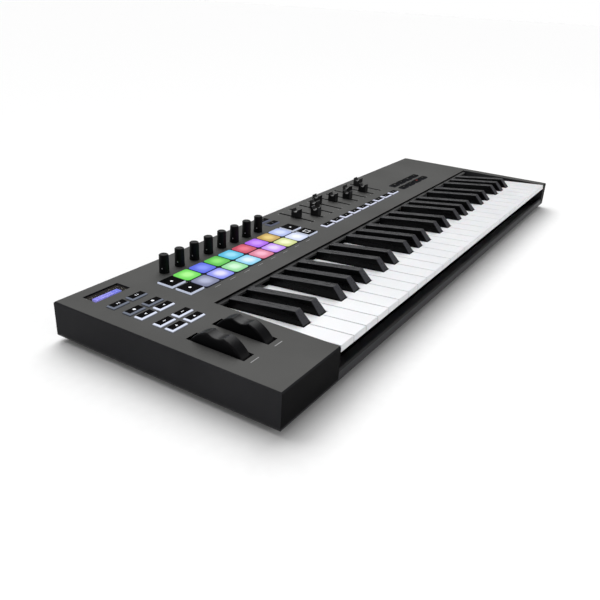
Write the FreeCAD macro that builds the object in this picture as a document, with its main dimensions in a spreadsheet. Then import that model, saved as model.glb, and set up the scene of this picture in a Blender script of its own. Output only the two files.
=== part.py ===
import FreeCAD, Part
import math
import os
import re
import Sketcher

# A four-octave controller keyboard, 49 keys, in millimetres.
# Every piece is drawn in the case's corner frame: X along the case from its left end, Y back from its
# front edge, Z up from its underside. A placement then moves it to the part's own frame, whose origin is
# on the surface that the feet stand on, under the middle of the case.

SIZES = {
    # case
    "case_depth": 258, "case_height": 36, "cheek": 16.5, "foot_height": 5,
    "wall": 2.5, "panel_thick": 2.5, "base_thick": 3, "edge_bevel": 1.2,
    "lip_height": 12, "lip_thick": 3, "lip_bevel": 1.6,
    # keys
    "key_start": 91, "white_pitch": 23.5, "key_gap": 1, "well_back": 139.3, "well_side": 1.2,
    "key_tilt": 3.9, "key_dip": 3.1, "plate_thick": 6.5, "key_front": 0.1, "key_round": 0.7,
    "key_end_gap": 4.8,
    "black_width": 12.5, "black_top_width": 9.7, "black_rise": 12.6, "black_fall": 4, "black_front": 47.7,
    "black_slope": 9.9, "black_length": 86.2, "black_round": 0.9, "black_side_gap": 1,
    "rib_width": 6, "rib_drop": 7, "rib_front": 14, "black_rib": 60, "block_drop": 9,
    "arm_width": 9, "arm_over": 2.2, "arm_under": 4, "arm_overlap": 8,
    "pivot_back": 183, "pivot_drop": 16, "rod_radius": 1.5, "rod_play": 0.05, "knuckle_radius": 4,
    # key bed
    "frame_low": 3, "frame_thick": 2.5, "frame_front": 18, "frame_back": 190,
    "post_thick": 2.5, "post_long": 12,
    "felt_thick": 3, "felt_width": 12, "felt_front": 24, "felt_ledge": 2, "key_clear": 0.2,
    "contact_front": 84, "contact_width": 34, "contact_inset": 2, "dome_row": 100, "dome_radius": 4,
    "dome_sheet": 1, "dome_inset": 3, "tray_reach": 1, "post_inset": 8, "post_shift": 0.25,
    "strip_thick": 2.5, "board_thick": 1.6,
    # controls
    "board_drop": 8.5, "control_pitch": 24.6, "pad_pitch": 24.4, "pad_size": 22.9, "pad_rise": 1.5,
    "pad_round": 1, "pad_corner": 4, "pad_first": 122.8, "pad_row": 177.8,
    "launch_size": 19.8, "launch_gap": 23.3, "launch_bevel": 0.4,
    "button_long": 19.6, "button_short": 9.8, "button_rise": 2, "button_bevel": 1.1,
    "mat_thick": 1.2, "mat_edge": 3, "play": 0.3, "button_travel": 0.6, "cap_clear": 0.2,
    "column_a": 31.3, "column_b": 54.9,
    "function_row_1": 205.8, "function_row_2": 185, "function_row_3": 170.6,
    "function_row_4": 147.8, "function_row_5": 133.6,
    "fader_first": 359.5, "fader_button_row": 172.5,
    "transport_first": 597, "transport_row": 173, "transport_rows_gap": 16,
    "device_column": 316.5, "device_row": 229.5, "device_rows_gap": 14.5,
    # knobs
    "knob_first": 115.2, "knob_pitch": 23.7, "knob_row": 226.8,
    "knob_low_radius": 5.5, "knob_top_radius": 5.1,
    "knob_height": 20.3, "knob_gap": 0.7, "knob_bevel": 0.8, "skirt_high": 1.6, "skirt_step": 0.2,
    "crown_edge": 1.6, "crown_dish": 0.4, "grip_radius": 0.45, "grip_low": 3,
    "shaft_radius": 3, "shaft_rise": 14, "shaft_play": 0.05, "encoder_size": 11,
    # faders
    "slot_width": 3.6, "slot_front": 193.6, "slot_length": 54, "cap_width": 8.6, "cap_length": 11.6,
    "cap_top_length": 11, "cap_height": 11.7, "cap_gap": 0.5, "saddle_radius": 4, "saddle_depth": 4.2,
    "cap_round": 0.5, "stem_width": 1.6, "stem_length": 5,
    "track_width": 9, "track_thick": 8.4, "track_end": 3, "track_floor": 1.4,
    # wheels
    "wheel_radius": 33.4, "wheel_sink": 19.7, "wheel_row": 82, "wheel_width": 12.7, "wheel_half_arc": 82,
    "wheel_first": 27.4, "wheel_second": 61.6, "wheel_slot_width": 14.2, "wheel_slot_length": 62,
    "dip_radius": 18.1, "dip_rise": 28.2, "hub_radius": 7, "axle_radius": 2, "axle_play": 0.05,
    "bracket_thick": 3, "bracket_gap": 3, "bracket_over": 5.7, "bracket_reach": 8,
    # display
    "display_left": 22.3, "display_front": 225.7, "display_length": 43.5, "display_depth": 18.5,
    "display_recess": 1.4, "window_thick": 1, "screen_length": 31, "screen_depth": 6.6,
    # sockets, screws and feet
    "usb_place": 60, "midi_place": 96, "pedal_place": 136, "lock_place": 24,
    "usb_width": 12, "usb_mouth": 8.6, "usb_high": 7.9, "midi_width": 20, "midi_radius": 6.7,
    "pedal_width": 14, "pedal_radius": 3.2, "pedal_deep": 25, "socket_deep": 13, "socket_middle": 17,
    "main_board_low": 7, "board_left": 40, "board_right": 30, "board_space": 6, "stud_size": 6,
    "stud_inset": 2, "lock_long": 7, "lock_high": 3, "tongue_width": 5.6, "tongue_deep": 4.5,
    "tongue_high": 3.2, "pin_radius": 0.8, "pin_circle": 4.5,
    "screw_radius": 1.5, "screw_long": 12, "head_radius": 2.8, "head_deep": 1.8, "boss_radius": 3.2,
    "cross_long": 3.6, "cross_wide": 0.8, "cross_deep": 0.9, "screw_edge": 6, "screw_inset": 8,
    "head_sink": 0.2, "shank_overlap": 0.5,
    "foot_radius": 9, "foot_inset": 34, "plug_radius": 7, "plug_high": 1,
}

WHITE_COUNT = 29
OCTAVES = 4
ROLES = {"XY": "XY_Plane", "XZ": "XZ_Plane", "YZ": "YZ_Plane"}
KNOBS = 8
FADERS = 9
PAD_COLUMNS = 8
# how far along its slot, from the front end, each fader stands at rest
FADER_REST = (27, 12, 29, 40, 28, 18, 31.6, 18, 40)

doc = FreeCAD.newDocument("keyboard")
sheet = doc.addObject("Spreadsheet::Sheet", "Sizes")
for line, (alias, value) in enumerate(SIZES.items(), start=1):
    sheet.set(f"A{line}", alias)
    sheet.set(f"B{line}", str(value))
    sheet.setAlias(f"B{line}", alias)
doc.recompute()

parts = []


# ---------------------------------------------------------------- small helpers

def bound(text):
    """An expression over the sheet, from one that names its cells only."""
    return re.sub(r"[a-z_]\w*", lambda word: "Sizes." + word[0] if word[0] in SIZES else word[0], str(text))


def bind(thing, **values):
    """Binds properties to expressions; a double underscore stands for the dot in a property's path."""
    for path, text in values.items():
        thing.setExpression(path.replace("__", "."), bound(text))
    return thing


def number(alias):
    """A cell's value, for the few choices that a loop makes."""
    return float(sheet.get(alias))


def settle(thing, label):
    """Names a finished sub-part, and moves it from the corner frame to the part's frame."""
    if thing.TypeId in ("Part::Box", "Part::Cylinder"):
        thing = compound([thing])
    thing.Label = label
    bind(thing, Placement__Base__x=f"-{CASE_LENGTH}/2", Placement__Base__y="-case_depth/2",
         Placement__Base__z="foot_height")
    parts.append(thing)
    return thing


def box(x, y, z, long, deep, high):
    """A block from its low corner and its three sizes."""
    block = doc.addObject("Part::Box", "Block")
    return bind(block, Placement__Base__x=x, Placement__Base__y=y, Placement__Base__z=z,
                Length=long, Width=deep, Height=high)


def rod(axis, x, y, z, radius, high):
    """A cylinder that starts at a point and runs along +X, +Y or +Z."""
    turn = {"X": (0, 1, 0, 90), "Y": (1, 0, 0, -90), "Z": (0, 0, 1, 0)}[axis]
    round_bar = doc.addObject("Part::Cylinder", "Rod")
    round_bar.Placement.Rotation = FreeCAD.Rotation(FreeCAD.Vector(*turn[:3]), turn[3])
    return bind(round_bar, Placement__Base__x=x, Placement__Base__y=y, Placement__Base__z=z,
                Radius=radius, Height=high)


def fuse(pieces):
    joined = doc.addObject("Part::MultiFuse", "Joined")
    joined.Shapes = pieces
    joined.Refine = True
    return joined


def cut(base, tools):
    tool = tools[0] if len(tools) == 1 else compound(tools)
    opened = doc.addObject("Part::Cut", "Opened")
    opened.Base = base
    opened.Tool = tool
    opened.Refine = True
    return opened


def compound(pieces):
    group = doc.addObject("Part::Compound", "Group")
    group.Links = pieces
    return group


def rounded(base, radius, wanted, tool="Part::Fillet"):
    """Rounds or bevels the edges of a solid that a test on the edge picks."""
    doc.recompute()
    picked = [i for i, edge in enumerate(base.Shape.Edges, start=1) if wanted(edge)]
    size = number(radius)
    softened = doc.addObject(tool, "Softened")
    softened.Base = base
    softened.Edges = [(i, size, size) for i in picked]
    return softened


def level(edge, height):
    """True for an edge that lies flat at a height."""
    return abs(edge.BoundBox.ZMin - height) < 1e-4 and abs(edge.BoundBox.ZMax - height) < 1e-4


# ---------------------------------------------------------------- PartDesign helpers

def new_body(label):
    return settle(doc.addObject("PartDesign::Body", "Body"), label)


def sketch_on(body, role, offset):
    """An empty sketch on one of the body's own planes, moved along the plane's normal."""
    plane = [feature for feature in body.Origin.OriginFeatures if feature.Role == ROLES[role]][0]
    sketch = body.newObject("Sketcher::SketchObject", "Sketch")
    sketch.AttachmentSupport = [(plane, "")]
    sketch.MapMode = "FlatFace"
    bind(sketch, AttachmentOffset__Base__z=offset)
    return sketch


def outline(body, role, offset, points):
    """A closed outline of straight lines, each corner bound to two expressions."""
    sketch = sketch_on(body, role, offset)
    count = len(points)
    spots = [FreeCAD.Vector(10 * math.cos(2 * math.pi * i / count), 10 * math.sin(2 * math.pi * i / count), 0)
             for i in range(count)]
    sketch.addGeometry([Part.LineSegment(spots[i], spots[(i + 1) % count]) for i in range(count)], False)
    sketch.addConstraint([Sketcher.Constraint("Coincident", i, 2, (i + 1) % count, 1) for i in range(count)])
    for i, (across, along) in enumerate(points):
        for kind, text, value in (("DistanceX", across, spots[i].x), ("DistanceY", along, spots[i].y)):
            index = sketch.addConstraint(Sketcher.Constraint(kind, -1, 1, i, 1, value))
            sketch.setExpression(f"Constraints[{index}]", bound(text))
    return sketch


def rectangle(body, role, offset, across, along, wide, deep):
    return outline(body, role, offset, [
        (across, along), (f"{across} + {wide}", along),
        (f"{across} + {wide}", f"{along} + {deep}"), (across, f"{along} + {deep}")])


def disc(body, role, offset, across, along, radius):
    sketch = sketch_on(body, role, offset)
    sketch.addGeometry(Part.Circle(FreeCAD.Vector(1, 1, 0), FreeCAD.Vector(0, 0, 1), 1), False)
    for kind, text in (("DistanceX", across), ("DistanceY", along)):
        index = sketch.addConstraint(Sketcher.Constraint(kind, -1, 1, 0, 3, 1))
        sketch.setExpression(f"Constraints[{index}]", bound(text))
    index = sketch.addConstraint(Sketcher.Constraint("Radius", 0, 1))
    sketch.setExpression(f"Constraints[{index}]", bound(radius))
    return sketch


def pad(body, sketch, length):
    feature = body.newObject("PartDesign::Pad", "Pad")
    feature.Profile = sketch
    return bind(feature, Length=length)


def pocket(body, sketch, length):
    """A pocket that runs along the sketch's own normal."""
    doc.recompute()
    before = body.Shape.Volume
    feature = body.newObject("PartDesign::Pocket", "Pocket")
    feature.Profile = sketch
    feature.Reversed = True
    bind(feature, Length=length)
    doc.recompute()
    if not body.Shape.Volume < before:
        raise RuntimeError("a pocket in " + body.Label + " cuts nothing")
    return feature


def soften(body, radius, wanted):
    """A fillet on the edges of the body's last feature that a test picks."""
    doc.recompute()
    base = body.Tip
    names = [f"Edge{i}" for i, edge in enumerate(base.Shape.Edges, start=1) if wanted(edge)]
    feature = body.newObject("PartDesign::Fillet", "Fillet")
    feature.Base = (base, names)
    bind(feature, Radius=radius)
    doc.recompute()
    return feature


def repeat(body, count, step):
    """Repeats the whole body along +X."""
    doc.recompute()
    pattern = body.newObject("PartDesign::LinearPattern", "Pattern")
    pattern.TransformMode = "Whole shape"
    along = [feature for feature in body.Origin.OriginFeatures if feature.Role == "X_Axis"][0]
    pattern.Direction = (along, [""])
    pattern.Mode = "Spacing"
    pattern.Occurrences = count
    bind(pattern, Offset=step)
    body.Tip = pattern
    doc.recompute()
    return pattern


# ---------------------------------------------------------------- places that several pieces share

PANEL_LOW = "(case_height - panel_thick)"
PIVOT = "(case_height - pivot_drop)"
# keys are drawn level and then turned up about the rod, so that their front edges are flush with the panel
WHITE_TOP = f"({PIVOT} + (pivot_drop - (pivot_back - key_front)*sin(key_tilt))/cos(key_tilt))"
PLATE_LOW = f"({WHITE_TOP} - plate_thick)"
RIB_LOW = f"({PLATE_LOW} - rib_drop)"
KEY_END = "(well_back - key_end_gap)"
OCTAVE = "(7*white_pitch)"
KEYS_END = f"(key_start + {WHITE_COUNT}*white_pitch)"
CASE_LENGTH = f"({KEYS_END} + cheek)"
BOARD_TOP = "(case_height - board_drop)"
WELL_LEFT = "(key_start - well_side)"
WELL_RIGHT = f"({KEYS_END} + well_side)"
WHEEL_AXIS = "(case_height - wheel_sink)"
SCREW_BACK = "(case_depth - screw_edge)"
SOCKET_LOW = "(main_board_low + board_thick)"
BRACKET_TOP = f"({WHEEL_AXIS} + axle_radius + bracket_over)"

# centres of the black keys in an octave, as shares of a white key's pitch: the three keys from C to E
# hold five equal steps, and the four keys from F to B hold seven
BLACK_CENTRES = {
    "c_sharp": "0.9*white_pitch", "d_sharp": "2.1*white_pitch", "f_sharp": "(3 + 6/7)*white_pitch",
    "g_sharp": "5*white_pitch", "a_sharp": "(6 + 1/7)*white_pitch"}
# each white key's place in the octave, and the black keys that notch its left and right sides
WHITE_KEYS = {
    "c": (0, None, "c_sharp"), "d": (1, "c_sharp", "d_sharp"), "e": (2, "d_sharp", None),
    "f": (3, None, "f_sharp"), "g": (4, "f_sharp", "g_sharp"), "a": (5, "g_sharp", "a_sharp"),
    "b": (6, "a_sharp", None)}


def turned_height(high, back, angle):
    """How high a point of a key stands when the key is turned up about the rod by an angle."""
    return f"({PIVOT} + ({high} - {PIVOT})*cos({angle}) + (pivot_back - {back})*sin({angle}))"


# the stop felt and the domes reach up to the ribs of fully pressed keys, less a clearance
PRESSED = "(key_tilt - key_dip)"
FELT_REAR = "(felt_front + felt_ledge + felt_width)"
FELT_TOP = f"({turned_height(RIB_LOW, FELT_REAR, PRESSED)} - key_clear)"
DOME_TOP = f"({turned_height(RIB_LOW, '(dome_row + dome_radius)', PRESSED)} - key_clear)"


def rows_of_buttons():
    """The centre of every button, with its cap's two sizes, by the group it belongs to."""
    groups = {"function_buttons": [], "fader_buttons": [], "transport_buttons": [], "device_buttons": [],
              "launch_buttons": []}
    for column in ("column_a", "column_b"):
        for row in range(1, 6):
            groups["function_buttons"].append((column, f"function_row_{row}", "button_long", "button_short"))
    for i in range(FADERS):
        groups["fader_buttons"].append(
            (f"fader_first + {i}*control_pitch", "fader_button_row", "button_long", "button_short"))
    for i in range(4):
        for row in (0, 1):
            groups["transport_buttons"].append(
                (f"transport_first + {i}*control_pitch", f"transport_row + {row}*transport_rows_gap",
                 "button_long", "button_short"))
    for row in (0, 1):
        groups["device_buttons"].append(
            ("device_column", f"device_row + {row}*device_rows_gap", "button_long", "button_short"))
    for column in ("pad_first - launch_gap", f"pad_first + {PAD_COLUMNS - 1}*pad_pitch + launch_gap"):
        for row in (0, 1):
            groups["launch_buttons"].append(
                (column, f"pad_row + {row}*pad_pitch", "launch_size", "launch_size"))
    return groups


def pad_places():
    return [(f"pad_first + {column}*pad_pitch", f"pad_row + {row}*pad_pitch", "pad_size", "pad_size")
            for column in range(PAD_COLUMNS) for row in (0, 1)]


def windows(group, low, high):
    """Blocks that cut a window with a little play round each pad or button."""
    return [box(f"{x} - {long}/2 - play", f"{y} - {deep}/2 - play", low,
                f"{long} + 2*play", f"{deep} + 2*play", high) for x, y, long, deep in group]


def screw_places():
    """Screws near the corners of the left block and the cheek, and along the back clear of the sockets."""
    middle_of_cheek = f"({WELL_RIGHT} + {CASE_LENGTH})/2"
    front = "(wall + screw_inset)"
    places = [(front, front), ("key_start - 2*wall - screw_inset - 1.5", front), (middle_of_cheek, front),
              (middle_of_cheek, "well_back - screw_inset - 2")]
    for x in ("2*screw_edge", "(usb_place + usb_width/2 + midi_place - midi_width/2)/2",
              f"knob_first + {KNOBS - 0.4}*knob_pitch", f"fader_first + {FADERS - 0.2}*control_pitch",
              f"{CASE_LENGTH} - 2*screw_edge"):
        places.append((x, SCREW_BACK))
    return places


# ---------------------------------------------------------------- case

def make_top_case():
    """The upper moulding: panel, outer walls and the walls of the key well, open underneath."""
    high = "case_height - base_thick"
    shell = box(0, 0, "base_thick", CASE_LENGTH, "case_depth", high)
    top = number("case_height")
    shell = rounded(shell, "edge_bevel", lambda edge: level(edge, top), "Part::Chamfer")
    inner_high = "case_height - panel_thick - base_thick"
    left = box("wall", "wall", "base_thick", f"{WELL_LEFT} - 2*wall", "well_back - 1", inner_high)
    rear = box("wall", "well_back", "base_thick", f"{CASE_LENGTH} - 2*wall",
               "case_depth - wall - well_back", inner_high)
    right = box(f"{WELL_RIGHT} + wall", "wall", "base_thick",
                f"{CASE_LENGTH} - {WELL_RIGHT} - 2*wall", "well_back - 1", inner_high)
    well = box(WELL_LEFT, -1, 0, f"{WELL_RIGHT} - {WELL_LEFT}", "well_back + 1", "case_height + 1")
    tools = [left, rear, right, well]
    for centre in ("wheel_first", "wheel_second"):
        tools.append(box(f"{centre} - wheel_slot_width/2", "wheel_row - wheel_slot_length/2", PANEL_LOW,
                         "wheel_slot_width", "wheel_slot_length", "panel_thick + 1"))
    for i in range(FADERS):
        tools.append(box(f"fader_first + {i}*control_pitch - slot_width/2", "slot_front", PANEL_LOW,
                         "slot_width", "slot_length", "panel_thick + 1"))
    for group in [pad_places()] + list(rows_of_buttons().values()):
        tools += windows(group, PANEL_LOW, "panel_thick + 1")
    for i in range(KNOBS):
        tools.append(rod("Z", f"knob_first + {i}*knob_pitch", "knob_row", PANEL_LOW, "shaft_radius + play",
                         "panel_thick + 1"))
    tools.append(box("display_left", "display_front", PANEL_LOW, "display_length", "display_depth",
                     "panel_thick + 1"))
    back = "case_depth - wall - 1"
    for socket in ("usb", "midi", "pedal"):
        wide = f"{socket}_width"
        tools.append(box(f"{socket}_place - {wide}/2", back, SOCKET_LOW, wide, "wall + 2",
                         f"socket_middle + {wide}/2 - {SOCKET_LOW}"))
    tools.append(box("lock_place - lock_long/2", back, "socket_middle - lock_high/2", "lock_long", "wall + 2",
                     "lock_high"))
    opened = cut(shell, tools)
    bosses = []
    for x, y in screw_places():
        boss = rod("Z", x, y, "base_thick", "boss_radius", f"{inner_high} + 0.5")
        hole = rod("Z", x, y, "base_thick - 1", "screw_radius", "screw_long + 1")
        bosses.append(cut(boss, [hole]))
    return settle(fuse([opened] + bosses), "top_case")


def make_bottom_case():
    """The base plate, the lip that closes the front under the keys, and the seats of the screws."""
    plate = box(0, 0, 0, CASE_LENGTH, "case_depth", "base_thick")
    plate = rounded(plate, "edge_bevel", lambda edge: level(edge, 0), "Part::Chamfer")
    lip = box(WELL_LEFT, 0, "edge_bevel", f"{WELL_RIGHT} - {WELL_LEFT}", "lip_thick",
              "lip_height - edge_bevel")
    lip_top = number("lip_height")
    lip = rounded(lip, "lip_bevel",
                  lambda edge: level(edge, lip_top) and edge.BoundBox.YMax < 0.01, "Part::Chamfer")
    holes = []
    for x, y in screw_places():
        holes.append(rod("Z", x, y, -1, "screw_radius", "base_thick + 2"))
        holes.append(rod("Z", x, y, -1, "head_radius", "head_deep + 1"))
    for x, y in foot_places():
        holes.append(rod("Z", x, y, -1, "plug_radius", "plug_high + 1"))
    return settle(cut(fuse([plate, lip]), holes), "bottom_case")


def foot_places():
    return [(f"{CASE_LENGTH}*{share} + foot_inset*{side}", y)
            for share, side in ((0, 1), (0.5, 0), (1, -1)) for y in ("foot_inset", "case_depth - foot_inset")]


def make_feet():
    feet = []
    for x, y in foot_places():
        tread = rod("Z", x, y, "-foot_height", "foot_radius", "foot_height")
        plug = rod("Z", x, y, -0.5, "plug_radius", "plug_high + 0.5")
        feet.append(fuse([tread, plug]))
    return settle(compound(feet), "rubber_feet")


def make_screws():
    screws = []
    for x, y in screw_places():
        head = rod("Z", x, y, "head_sink", "head_radius", "head_deep - head_sink")
        shank = rod("Z", x, y, "head_deep - shank_overlap", "screw_radius", "screw_long")
        slot = box(f"{x} - cross_long/2", f"{y} - cross_wide/2", 0, "cross_long", "cross_wide", "cross_deep")
        cross = box(f"{x} - cross_wide/2", f"{y} - cross_long/2", 0, "cross_wide", "cross_long", "cross_deep")
        screws.append(cut(fuse([head, shank]), [fuse([slot, cross])]))
    return settle(compound(screws), "case_screws")


# ---------------------------------------------------------------- key bed

def post_places():
    """The rod's posts stand in the gaps between octaves, and past the last key."""
    places = [f"key_start + {k}*{OCTAVE} + post_shift - post_thick/2" for k in range(OCTAVES + 1)]
    places.append(f"{KEYS_END} - post_inset")
    return places


def make_key_frame():
    left = "key_start - tray_reach"
    long = f"{KEYS_END} - key_start + 2*tray_reach"
    tray = box(left, "frame_front", "frame_low", long, "frame_back - frame_front", "frame_thick")
    posts = [box(x, "pivot_back - post_long/2", "frame_low", "post_thick", "post_long",
                 f"{PIVOT} + knuckle_radius - frame_low") for x in post_places()]
    ledge = box(left, "felt_front", "frame_low", long, "felt_width + 2*felt_ledge",
                f"{FELT_TOP} - felt_thick - frame_low")
    bore = rod("X", left, "pivot_back", PIVOT, "rod_radius", long)
    return settle(cut(fuse([tray, ledge] + posts), [bore]), "key_frame")


def make_pivot_rod():
    places = post_places()
    return settle(rod("X", places[0], "pivot_back", PIVOT, "rod_radius",
                      f"{places[-1]} + post_thick - ({places[0]})"), "key_pivot_rod")


def make_stop_felt():
    felt = box("key_start", "felt_front + felt_ledge", f"{FELT_TOP} - felt_thick",
               f"{KEYS_END} - key_start", "felt_width", "felt_thick")
    return settle(felt, "key_stop_felt")


def make_contact_board():
    board = box("key_start + contact_inset", "contact_front", "frame_low + frame_thick",
                f"{KEYS_END} - key_start - 2*contact_inset", "contact_width", "board_thick")
    return settle(board, "key_contact_board")


def key_middles():
    """The middle of every key's arm, as an expression, from the lowest key to the highest."""
    middles = []
    for octave in range(OCTAVES):
        start = f"key_start + {octave}*{OCTAVE}"
        for name in WHITE_KEYS:
            middles.append(f"{start} + {arm_middle(name)}")
        for centre in BLACK_CENTRES.values():
            middles.append(f"{start} + {centre}")
    middles.append(f"key_start + {OCTAVES}*{OCTAVE} + {arm_middle('c')}")
    return middles


def make_contact_domes():
    """One rubber dome under each key, on a strip that lies on the contact board."""
    low = "frame_low + frame_thick + board_thick"
    strip = box("key_start + dome_inset", "dome_row - 2*dome_radius", low,
                f"{KEYS_END} - key_start - 2*dome_inset", "4*dome_radius", "dome_sheet")
    domes = []
    for middle in key_middles():
        dome = doc.addObject("Part::Cone", "Dome")
        bind(dome, Placement__Base__x=middle, Placement__Base__y="dome_row",
             Placement__Base__z=f"{low} + dome_sheet/2", Radius1="dome_radius", Radius2="dome_radius*0.6",
             Height=f"{DOME_TOP} - ({low}) - dome_sheet/2")
        domes.append(dome)
    return settle(fuse([strip] + domes), "key_contact_domes")


def make_dust_strip():
    """A felt strip under the panel's edge that hides the backs of the keys."""
    return settle(box(WELL_LEFT, f"{KEY_END} + 1.2", f"{PANEL_LOW} - strip_thick",
                      f"{WELL_RIGHT} - {WELL_LEFT}", "key_end_gap + 5", "strip_thick"), "dust_strip")


# ---------------------------------------------------------------- keys

def side_of(name, right):
    """The left or right side of a white key's narrow part, from the octave's start."""
    place, left_black, right_black = WHITE_KEYS[name]
    black = right_black if right else left_black
    if black is None:
        return f"({place + 1}*white_pitch - key_gap/2)" if right else f"({place}*white_pitch + key_gap/2)"
    sign = "-" if right else "+"
    return f"({BLACK_CENTRES[black]} {sign} black_width/2 {sign} black_side_gap)"


def arm_middle(name):
    return f"({side_of(name, False)} + {side_of(name, True)})/2"


def turn_up(body):
    """Turns a body that is drawn level up about the rod, so that its front stands higher than its back."""
    body.Placement.Rotation = FreeCAD.Rotation(FreeCAD.Vector(-1, 0, 0), number("key_tilt"))
    bind(body, Placement__Rotation__Angle="key_tilt",
         Placement__Base__y=f"pivot_back - pivot_back*cos(key_tilt) - {PIVOT}*sin(key_tilt) - case_depth/2",
         Placement__Base__z=f"{PIVOT} + pivot_back*sin(key_tilt) - {PIVOT}*cos(key_tilt) + foot_height")


def add_arm(body, middle):
    """The arm that runs back from a key to the rod, with its round knuckle and bore."""
    left = f"{middle} - arm_width/2"
    pad(body, rectangle(body, "XY", f"{PIVOT} - arm_under", left, f"{KEY_END} - arm_overlap", "arm_width",
                        f"pivot_back - {KEY_END} + arm_overlap"), "arm_under + arm_over")
    pad(body, disc(body, "YZ", left, "pivot_back", PIVOT, "knuckle_radius"), "arm_width")
    bore = disc(body, "YZ", f"{left} - 1", "pivot_back", PIVOT, "rod_radius + rod_play")
    pocket(body, bore, "arm_width + 2")


def make_white_keys(name, label, octave, count):
    """White keys of one name: a plate with its notches, a rib, and the arm to the rod."""
    body = new_body(label)
    turn_up(body)
    start = f"key_start + {octave}*{OCTAVE}"
    place = WHITE_KEYS[name][0]
    wide_left = f"{start} + {place}*white_pitch + key_gap/2"
    wide_right = f"{start} + {place + 1}*white_pitch - key_gap/2"
    left_black, right_black = WHITE_KEYS[name][1:]
    if count == 1:
        right_black = None
    notch = "black_front - black_side_gap"
    corners = [(wide_left, "key_front"), (wide_right, "key_front")]
    if right_black:
        narrow_right = f"{start} + {side_of(name, True)}"
        corners += [(wide_right, notch), (narrow_right, notch), (narrow_right, KEY_END)]
    else:
        corners += [(wide_right, KEY_END)]
    if left_black:
        narrow_left = f"{start} + {side_of(name, False)}"
        corners += [(narrow_left, KEY_END), (narrow_left, notch), (wide_left, notch)]
    else:
        corners += [(wide_left, KEY_END)]
    pad(body, outline(body, "XY", PLATE_LOW, corners), "plate_thick")
    soften(body, "key_round", lambda edge: level(edge, body.Tip.Shape.BoundBox.ZMax))
    middle = f"{start} + {arm_middle(name)}"
    pad(body, rectangle(body, "XY", RIB_LOW, f"{middle} - rib_width/2", "rib_front", "rib_width",
                        f"{KEY_END} - rib_front"), "rib_drop")
    add_arm(body, middle)
    if count > 1:
        repeat(body, count, OCTAVE)


def make_black_keys(name, label):
    """Black keys of one name: a block with leaning sides, a sloped front and a top that falls to the back."""
    centre = f"key_start + {BLACK_CENTRES[name]}"
    body = new_body(label)
    turn_up(body)
    low = f"({WHITE_TOP} - block_drop)"
    pad(body, rectangle(body, "XY", low, f"{centre} - black_width/2", "black_front", "black_width",
                        "black_length"), "block_drop + 0.5")
    base = outline(body, "XY", f"{WHITE_TOP} + 0.5", [
        (f"{centre} - black_width/2", "black_front"), (f"{centre} + black_width/2", "black_front"),
        (f"{centre} + black_width/2", "black_front + black_length"),
        (f"{centre} - black_width/2", "black_front + black_length")])
    top = outline(body, "XY", f"{WHITE_TOP} + black_rise", [
        (f"{centre} - black_top_width/2", "black_front + black_slope"),
        (f"{centre} + black_top_width/2", "black_front + black_slope"),
        (f"{centre} + black_top_width/2", "black_front + black_length"),
        (f"{centre} - black_top_width/2", "black_front + black_length")])
    loft = body.newObject("PartDesign::AdditiveLoft", "Loft")
    loft.Profile = base
    loft.Sections = [top]
    top_line = f"{WHITE_TOP} + black_rise"
    past_end = "black_front + black_length + 1"
    wedge = outline(body, "YZ", f"{centre} - black_width/2 - 1", [
        ("black_front + black_slope", top_line), ("black_front + black_length", f"{top_line} - black_fall"),
        (past_end, f"{top_line} - black_fall"), (past_end, f"{top_line} + 1"),
        ("black_front + black_slope", f"{top_line} + 1")])
    pocket(body, wedge, "black_width + 2")
    crown = body.Tip.Shape.BoundBox.ZMax
    end = body.Tip.Shape.BoundBox.YMax
    soften(body, "black_round",
           lambda edge: edge.BoundBox.ZMax > crown - 0.01 and edge.BoundBox.YMin < end - 1)
    pad(body, rectangle(body, "XY", RIB_LOW, f"{centre} - rib_width/2", f"{KEY_END} - black_rib", "rib_width",
                        "black_rib"), f"{low} - {RIB_LOW} + 0.5")
    add_arm(body, centre)
    repeat(body, OCTAVES, OCTAVE)


def make_keys():
    for name in WHITE_KEYS:
        make_white_keys(name, f"{name}_keys", 0, OCTAVES)
    make_white_keys("c", "top_c_key", OCTAVES, 1)
    for name in BLACK_CENTRES:
        make_black_keys(name, f"{name}_keys")


# ---------------------------------------------------------------- pads and buttons

def cap_low():
    """Caps reach from their rise down to a gap over the board that their travel closes."""
    return f"({BOARD_TOP} + button_travel + cap_clear)"


def make_drum_pads():
    body = new_body("drum_pads")
    low = cap_low()
    for row in (0, 1):
        square = rectangle(body, "XY", low, "pad_first - pad_size/2",
                           f"pad_row + {row}*pad_pitch - pad_size/2", "pad_size", "pad_size")
        pad(body, square, f"case_height + pad_rise - {low}")
    soften(body, "pad_corner", lambda edge: edge.BoundBox.ZLength > 1)
    top = body.Tip.Shape.BoundBox.ZMax
    soften(body, "pad_round", lambda edge: edge.BoundBox.ZMax > top - 0.01)
    repeat(body, PAD_COLUMNS, "pad_pitch")


def make_button_caps(label, group):
    """Caps with a bevel round their tops."""
    caps = []
    low = cap_low()
    bevel = "launch_bevel" if label == "launch_buttons" else "button_bevel"
    high = f"case_height + button_rise - {low}"
    for x, y, long, deep in group:
        block = box(f"{x} - {long}/2", f"{y} - {deep}/2", low, long, deep, high)
        caps.append(rounded(block, bevel, lambda edge: level(edge, block.Shape.BoundBox.ZMax),
                            "Part::Chamfer"))
    return settle(compound(caps), label)


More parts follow.
